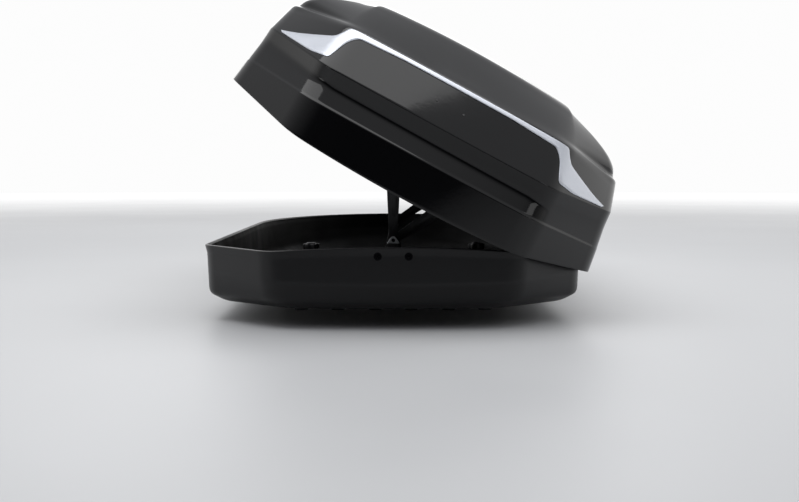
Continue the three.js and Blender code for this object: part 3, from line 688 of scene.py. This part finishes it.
def makeHinges(look):
    for hand, side in hands.items():
        for place in places:
            at = (side * hingeX, stationY[place], hingeZ)
            half, ear = look["half"], look["ear"]
            plate = lay(slab(strip((-half, half), (-14, 12), 5), -12.4, -9.4, 0.7), "x")
            outline = np.concatenate([arcBand(0.01, ear, -90, 90, 20)[:20], [(-10.5, ear), (-10.5, -ear)]])
            parts = [plate]
            for low in (-half, half - 4):
                parts.append(lay(slab(outline, low, low + 4, 0.5), "y"))
            rodEnd = [(2.9, half + 0.4), (2.2, half + 1), (0, half + 1)]
            rod = [(radius, -y) for radius, y in rodEnd[::-1]] + rodEnd
            parts.append(lay(turnedPart(rod, 32), "y"))
            for y in (-22, 22):
                parts.append(lay(rivet(4, 1.6), "x", (-9.4, y, 0)))
            parts = [mirrored(part, side, at) for part in parts]
            pin = makePiece(f"hingePin_{hand}_{place}", parts, powderCoat, "tray")
            stands(pin, f"hinge_pin_{hand}_{place}")
            halfRing = arcBand(look["pin"] + look["gap"], look["bush"], 0, 180)
            liner = lay(slab(halfRing, -24, 24, 0.25), "y", at)
            carrier = "left_bushes" if side < 0 else "lid"
            bush = makePiece(f"hingeBush_{hand}_{place}", [liner], acetal, carrier, onLid=True)
            stands(bush, f"hinge_bush_{hand}_{place}")
            reach = look["bush"] + look["gap"]
            hook = slab(arcBand(reach, look["claw"], 0, 180), -16, 16, 0.4)
            lug = slab(arcBand(reach, look["claw"] + 1.8, 72, 109), -16, -8, 0.4)
            shut = np.pi if side > 0 else 0.0
            claw = makePiece(f"latchClaw_{hand}_{place}", [lay(part, "y", at, shut) for part in (hook, lug)],
                             zincPlate, f"claws_{hand}", onLid=True)
            stands(claw, f"latch_claw_{hand}_{place}")


def makeRails(look):
    first, last = stationY["rear"], stationY["front"]
    for hand, side in hands.items():
        at = (side * hingeX, 0, hingeZ)
        parts = [lay(slab(strip((first - 70, last + 60), (-14, 14), 6), 7, 8.8, 0.5), "x")]
        for z in (-9.5, 9.5):  # two rolled beads stiffen the rail
            bead = strip((first - 60, last + 50), (z - 1.5, z + 1.5), 1.4)
            parts.append(lay(slab(bead, 5.8, 7.4, 0.7), "x"))
        for y in np.linspace(first - 55, last + 45, 9):
            head = rivet(3.6, -1.5)
            parts.append(lay(head, "x", (7, y, 0)))
        for place in places:
            saddle = arcBand(look["claw"] + look["gap"], look["saddle"], -8, 172)
            y = stationY[place]
            parts.append(lay(slab(saddle, y - 6, y + 14, 0.4), "y"))
        parts = [mirrored(part, side, at) for part in parts]
        rail = makePiece(f"hingeRail_{hand}", parts, zincPlate, "lid", onLid=True)
        stands(rail, f"hinge_rail_{hand}")
        handleY = joints[f"lock_handle_{hand}_turn"]["pos_m"][1] / mm
        bar = slab(strip((first - 50, last + 40), (19, 29), 3), 2.8, 6, 0.5)
        tongue = slab(strip((handleY - 16, handleY + 16), (26, 34), 3), 2.8, 6, 0.5)
        parts = [lay(bar, "x"), lay(tongue, "x")]
        for place in places:  # drive pegs over the claws
            parts.append(lay(rivet(3, 1.2), "x", (6, stationY[place] - 12, 24)))
        parts = [mirrored(part, side, at) for part in parts]
        stands(makePiece(f"lockBar_{hand}", parts, zincPlate, f"lock_bar_{hand}", onLid=True),
               f"lock_bar_{hand}")


handleLook = {"radius": 30, "grip": (25, 9), "lean": 8.5, "keyHole": 6.3, "barrel": 5.5}


def makeHandles(look):
    for hand, side in hands.items():
        at = swungShut(np.array(joints[f"lock_handle_{hand}_turn"]["pos_m"]) / mm)
        lean = -np.radians(look["lean"])
        radius, (halfA, halfB) = look["radius"], look["grip"]
        profile = [(0, 0.6), (radius - 0.8, 0.6), (radius, 1.2), (radius, 2.2), (radius - 0.8, 3.1),
                   (radius - 3, 3.4), (radius - 4.2, 2.7), (radius - 5.4, 3.2), (12, 3.4), (0, 3.4)]
        outline = box2(halfA, halfB, 8, 12)
        angle = np.arctan2(outline[:, 1], outline[:, 0])
        hole = look["keyHole"] * np.stack([np.cos(angle), np.sin(angle)], 1)
        spindle = turnedPart([(0, -12), (9, -12), (9, 1), (0, 1)])
        crank = slab(strip((-5, 5), (-24, 0), 3), -12, -9, 0.5)
        parts = [turnedPart(profile, 72), slab(outline, 3, 9, 2.2, hole), spindle, crank]
        for offset in (-17, 17):  # finger grooves' ridges on the grip
            parts.append(slab(box2(1.2, 6, 1.1) + [offset, 0], 8, 9.6, 0.4))
        parts = [mirrored(lay(part, "x", angle=lean), side, at) for part in parts]
        handle = makePiece(f"lockHandle_{hand}", parts, fibreNylon, f"lock_handle_{hand}",
                           onLid=True)
        stands(handle, f"lock_handle_{hand}")
        rim = circle(look["barrel"], 56)
        angle = np.arctan2(rim[:, 1], rim[:, 0])
        slot = np.stack([0.9 * np.clip(1.8 * np.cos(angle), -1, 1), 3.4 * np.sin(angle)], 1)
        parts = [slab(rim, 2.4, 9.4, 0.6, slot), turnedPart([(0, 3), (5, 3), (5, 6), (0, 6)], 32)]
        parts = [mirrored(lay(part, "x", angle=lean), side, at) for part in parts]
        key = makePiece(f"keyCylinder_{hand}", parts, zincPlate, f"key_cylinder_{hand}",
                        onLid=True)
        stands(key, f"key_cylinder_{hand}")


makeHinges(hingeLook)
makeRails(hingeLook)
makeHandles(handleLook)
print("hinges, latches and handles made")

# The two lid lifters.
lifterLook = {
    "railZ": 270, "thickness": 3, "eye": 9.5, "wide": 17, "tip": 6, "widest": 0.38, "rearWall": -1034.5,
    "rearFloor": -978,
}
lifterY = {end: middle(f"cross_rail_{end}")[1] - 1 for end in ("rear", "front")}
pivotZ = middle("lifter_bush_a_rear")[2]


def armOutline(look, length):  # round foot and tip, and bowed sides between them
    eye, wide, tip = look["eye"], look["wide"], look["tip"]
    arc = np.radians(np.linspace(180, 360, 22))
    foot = eye * np.stack([np.cos(arc), np.sin(arc)], 1)
    head = np.stack([-tip * np.cos(arc), length - tip * np.sin(arc)], 1)
    belly = rounded([(eye, 0), (wide, look["widest"] * length), (tip, length)], 60, 9, closed=False)[1:-1]
    return np.concatenate([foot, belly, head, belly[::-1] * [-1, 1]])


def makeArms(look):
    rise = look["railZ"] - hingeZ + hingeX * np.sin(openAngle) - (pivotZ - hingeZ) * np.cos(openAngle)
    length = rise / np.cos(openAngle)
    for end, y in lifterY.items():
        for letter, offset, leaning in (("a", -12, 0.0), ("b", 2, 2 * openAngle)):
            outline = armOutline(look, length)
            beadSide = np.array([(6, 0.14), (9, look["widest"]), (3, 0.86)])
            bead = np.concatenate([beadSide, beadSide[::-1] * [-1, 1]]) * [1, length]
            bead = rounded(bead, 14, 7)
            thick = look["thickness"]
            parts = [slab(outline, 0, thick, 0.7), slab(bead, -0.8, thick + 0.8, 0.75),
                     slab(circle(8.4), -0.3, thick + 0.3, 0.3, circle(6.3))]
            knob = [(0, -1.5), (4, -1.5), (4.6, -0.6), (4.6, thick + 0.6), (4, thick + 1.5), (0, thick + 1.5)]
            parts.append(lay(turnedPart(knob, 32), at=(0, length, 0)))
            parts = [lay(part, "y", (0, y + offset, pivotZ), leaning) for part in parts]
            arm = makePiece(f"lifterArm_{letter}_{end}", parts, powderCoat, f"arms_{letter}")
            stands(arm, f"lifter_arm_{letter}_{end}")
            liner = lay(slab(circle(6), -0.5, thick + 0.5, 0.25, circle(4.3)), "y", (0, y + offset, pivotZ))
            bush = makePiece(f"lifterBush_{letter}_{end}", [liner], acetal, f"arm_bushes_{letter}")
            stands(bush, f"lifter_bush_{letter}_{end}")


def makeLifterFeet(look):
    for end, y in lifterY.items():
        at = (0, y, pivotZ)
        hexagon = rounded(circle(7.4, 6), 0.8, 4)
        thread = np.arange(0, 3.2, 0.31)
        zigzag = np.stack([4 - 0.35 * (np.arange(len(thread)) % 2), 15 + thread], 1)
        plainEnd = [(0, -19.8), (1.6, -19.8), (2.2, -20.5), (3.3, -20.5), (4, -19.9), (4, 15)]
        shank = np.vstack([plainEnd, zigzag, [(3.2, 18.4), (0, 18.4)]])
        parts = [turnedPart(shank, 36), slab(hexagon, 10.6, 15, 0.9),
                 slab(circle(8.4), 9.2, 10.6, 0.3, circle(4.2))]
        parts = [lay(part, "y", at) for part in parts]
        bolt = makePiece(f"lifterBolt_{end}", parts, blackOxide, "tray")
        stands(bolt, f"lifter_bolt_{end}")
        ear = [(-15, -7.5), (15, -7.5), (13.5, -4.5), (7, 6), (3, 9), (-3, 9), (-7, 6), (-13.5, -4.5)]
        ear = rounded(ear, [0.8, 0.8, 1.4, 3, 3, 3, 3, 1.4], 6)
        angle = np.arctan2(ear[:, 1], ear[:, 0])
        hole = 4.3 * np.stack([np.cos(angle), np.sin(angle)], 1)
        plate = lay(slab(ear, -19, -15, 0.6, hole), "y", at)
        # the ear's zinc is painted paler, painted light, so that it shows in the shade inside the tray
        lug = makePiece(f"lifterLug_{end}", [plate], paintedLitZinc, "tray")
        stands(lug, f"lifter_lug_{end}")
        column = rounded([(-40, 4.2), (40, 4.2), (24, 60), (14, 118), (-14, 118), (-24, 60)], 9, 6)
        window = rounded([(-11, 22), (11, 22), (6, 92), (-6, 92)], 6, 6)
        heel = rounded([(-4, 4.2), (60, 4.2), (60, 9), (20, 40), (-4, 60)], 5, 5)
        shelf = strip((-13, 13), (90, 127.4), 2)
        uprights = [slab(column, -14, -4, 1.4), slab(window, -15.2, -13, 1.0), slab(shelf, -19, -13, 1.2)]
        heels = [slab(heel, -16, -12, 1.2), slab(heel, 12, 16, 1.2)]
        parts = [lay(part, "y", (0, y, 0)) for part in uprights]
        parts += [lay(part, "x", (0, y, 0)) for part in heels]
        parts.append(lay(slab(box2(40, 32, 10), 4.1, 8, 1.2), at=(0, y + 26, 0)))
        for x in (-28, 28):
            parts.append(lay(screwHead(5.5, 2.6, crossRecess(3), 1.6), at=(x, y + 40, 8)))
        if end == "rear":
            wall, floorEnd = look["rearWall"], look["rearFloor"]
            upper = [(y - 8, 9), (floorEnd + 3, 9), (wall + 20, 32), (wall + 4, 64), (wall + 4, 127)]
            under = [(wall, 127), (wall, 61), (wall + 15, 24), (floorEnd, 4.2)]
            strap = rounded([(y - 8, 4.2), *upper, *under], 1.8, 4)
            parts.append(lay(slab(strap, -46, 46, 1.4), "x"))
        foot = makePiece(f"lifterBase_{end}", parts, fibreNylon, "tray")
        stands(foot, f"lifter_base_{end}")


def roofAt(x, y):  # height of the lid's outer face over a place, from its nearest point
    flat = lidGrid.reshape(-1, 3)
    high = flat[flat[:, 2] > 280]
    return high[np.argmin(np.hypot(high[:, 0] - x, high[:, 1] - y)), 2]


def makeCrossRails(look):
    for end, y in lifterY.items():
        low, top = look["railZ"] - 9, look["railZ"] + 26.5
        section = rounded([(-16, low), (-16, top), (18, top), (18, low), (15.8, low), (15.8, top - 2.2),
                           (-13.8, top - 2.2), (-13.8, low)], [0.8, 3, 3, 0.8, 0.8, 2, 2, 0.8], 5)
        parts = [lay(slab(section, -384, 384, 0.3), "x", (0, y, 0))]
        for x in (-378, 378):
            stop = strip((-15, 17), (top - 8, top - 1), 2)
            parts.append(lay(slab(stop, x - 6, x + 6, 0.8), "x", (0, y, 0)))
        for side in (-1, 1):  # feet to the side walls and hangers to the roof
            parts.append(lay(slab(strip((-12, 14), (top - 9, top - 5), 1.6), 372, 424, 0.8), "x", (0, y, 0)))
            parts[-1] = mirrored(parts[-1], side)
            roof = roofAt(side * 222, y) - lidLook["wall"]  # over the outer edge, where the roof is lowest
            parts.append(lay(slab(strip((side * 190 - 22, side * 190 + 22), (-8, 10), 4), top - 1, roof, 0.8),
                             at=(0, y, 0)))
        rail = makePiece(f"crossRail_{end}", parts, powderCoat, "lid", onLid=True)
        stands(rail, f"cross_rail_{end}")


rearScrewLook = {"head": 6.8, "dome": 3.6, "headHeight": 3.4, "recess": 3.6, "washer": 8.6, "shank": 3}


def makeRearScrews(look):
    for hand in hands:
        node = f"rear_screw_{hand}"
        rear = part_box(node)[0][1] / mm
        x, _, z = middle(node)
        head = screwHead(look["head"], look["dome"], crossRecess(look["recess"]), 2.2)
        rim, shank = look["washer"], look["shank"]
        washer = turnedPart([(0, -0.2), (rim, -0.2), (rim, 0.5), (rim - 0.4, 0.8), (0, 0.8)], 48)
        stem = turnedPart([(0, -9), (shank, -9), (shank, 0), (0, 0)], 24)
        parts = [lay(part, "y") for part in (head, washer, stem)]
        parts = [(part[0] * [1, -1, 1] + [x, rear + look["headHeight"], z], part[1]) for part in parts]
        stands(makePiece(f"rearScrew_{hand}", parts, blackOxide, "tray"), node)


makeArms(lifterLook)
makeLifterFeet(lifterLook)
makeCrossRails(lifterLook)
makeRearScrews(rearScrewLook)
print("lifters made")

# The four roof-bar clamps.
clampLook = {"bar": 82, "travel": 12, "hook": 36, "half": (30, 78), "lobes": 6, "knob": 24, "lobe": 3}


def makeClamps(look):
    near = look["bar"] / 2
    toe = -look["hook"]
    for name in clampNames:
        x, y, _ = middle(f"clamp_knob_{name}")
        halfA, halfB = look["half"]
        hook = rounded([(near, 6), (near, toe), (near - 16, toe), (near - 16, toe - 6), (near + 12, toe - 6),
                        (near + 12, 6)], [2, 4, 2, 2, 7, 2], 6)
        housing = slab(box2(halfA, halfB, 18, 10), 4.2, 30, 5)
        step = slab(box2(halfA - 6, halfB - 6, 14, 10), 28, 34, 2.5)
        collar = turnedPart([(0, 32), (21, 32), (21, 36), (20, 38.4), (18.6, 40), (0, 40)], 60)
        parts = [housing, step, collar, lay(slab(hook, -13, 13, 1.2), "x")]
        for offset in (-56, -48, 48, 56):  # two pairs of shallow ribs over the housing
            parts.append(slab(box2(halfA - 10, 1.5, 1.4) + [0, offset], 33, 35.4, 0.7))
        body = makePiece(f"clampBody_{name}", [lay(part, at=(x, y, 0)) for part in parts], fibreNylon, "tray")
        stands(body, f"clamp_body_{name}")
        back = -near - look["travel"]
        jaw = [(back + 44, -1.5), (back + 44, 3.7), (back - 12, 3.7), (back - 12, toe - 6),
               (back + 16, toe - 6), (back + 16, toe), (back, toe), (back, -1.5)]
        jaw = rounded(jaw, [1.5, 1.5, 4, 7, 2, 2, 4, 2], 6)
        parts = [lay(slab(jaw, -13, 13, 1.0), "x")]
        for step in range(4):  # teeth that bite the bar's underside
            tooth = strip((back + 2 + 3.4 * step, back + 4 + 3.4 * step), (toe - 0.5, toe + 1), 0.5)
            parts.append(lay(slab(tooth, -11, 11, 0.4), "x"))
        jawPiece = makePiece(f"clampJaw_{name}", [lay(part, at=(x, y, 0)) for part in parts], powderCoat,
                             f"clamp_jaw_{name}")
        stands(jawPiece, f"clamp_jaw_{name}")
        angle = np.arange(144) / 144 * 2 * np.pi
        radius = look["knob"] + look["lobe"] * np.cos(look["lobes"] * angle)
        lobed = radius[:, None] * np.stack([np.cos(angle), np.sin(angle)], 1)
        cap = [(0, 56), (15, 56), (15, 59), (14.2, 61.4), (12.4, 62.6), (8, 63), (7.2, 62), (0, 62)]
        parts = [slab(lobed, 40.4, 58, 3.2), slab(lobed * 0.86, 57, 59.4, 1.2), turnedPart(cap, 60)]
        knob = makePiece(f"clampKnob_{name}", [lay(part, at=(x, y, 0)) for part in parts], fibreNylon,
                         f"clamp_knob_{name}")
        stands(knob, f"clamp_knob_{name}")


makeClamps(clampLook)
print("clamps made")


def makeFloor(radius=60.0, fade=(1.5, 14.0), rings=80, count=96):
    # Rings at radius share^2 round the upright axis, all at the height of the lowest hook. Far out the
    # floor's paint fades to black and the floor glows with the sky's own colour, painted light that stands
    # in for the sky, so that no horizon shows: with k running from 0 to 1 between the two distances of
    # fade, the share of glow is 3k^2 - 2k^3, and the glow turns from the sky's colour behind to its
    # colour ahead by the same curve of (y / distance + 0.6) / 1.1.
    out = np.linspace(0.02, 1, rings)[:, None] ** 2 * radius
    angle = np.arange(count) / count * 2 * np.pi
    x, y = out * np.cos(angle), out * np.sin(angle)
    points = np.stack([x, y, 0 * x + cadBox[0][2]], -1).reshape(-1, 3)
    steps = [(out - fade[0]) / (fade[1] - fade[0]) + 0 * x, (y / out + 0.6) / 1.1]
    steps = [np.clip(k, 0, 1).reshape(-1, 1) for k in steps]
    far, along = (k ** 2 * (3 - 2 * k) for k in steps)
    behind, ahead = (np.array(linear(sky[name])) for name in ("behind", "ahead"))
    tone = (behind + (ahead - behind) * along) * far
    mesh = bpy.data.meshes.new("floor")
    mesh.from_pydata(points, [], quads(rings, count)[:, ::-1].tolist() + [list(range(count))])
    for name, kind, value, values in (("far", "FLOAT", "value", far), ("sky", "FLOAT_COLOR", "color", tone)):
        mesh.attributes.new(name, kind, "POINT").data.foreach_set(value, values.ravel().astype(np.float32))
    mesh.materials.append(floorPaint)
    tree = floorPaint.node_tree
    shader = tree.nodes["Principled BSDF"]
    share = addNode(tree, "ShaderNodeAttribute", {"attribute_name": "far"}).outputs["Fac"]
    paint = shader.inputs["Base Color"].links[0].from_socket
    faded = addNode(tree, "ShaderNodeMix", {"data_type": "RGBA"}, links={0: share, 6: paint})
    faded.inputs[7].default_value = (0, 0, 0, 1)
    gloss = addNode(tree, "ShaderNodeMath", {"operation": "MULTIPLY_ADD"}, {1: -0.5, 2: 0.5}, {0: share})
    tree.links.new(faded.outputs[2], shader.inputs["Base Color"])
    tree.links.new(gloss.outputs[0], shader.inputs["Specular IOR Level"])
    # far out the floor glows with the sky's colour: painted light standing in for the sky
    glow = addNode(tree, "ShaderNodeAttribute", {"attribute_name": "sky"}).outputs["Color"]
    tree.links.new(glow, shader.inputs["Emission Color"])
    shader.inputs["Emission Strength"].default_value = sky["strength"]
    floor = bpy.data.objects.new("floor", mesh)
    bpy.context.scene.collection.objects.link(floor)


makeFloor()
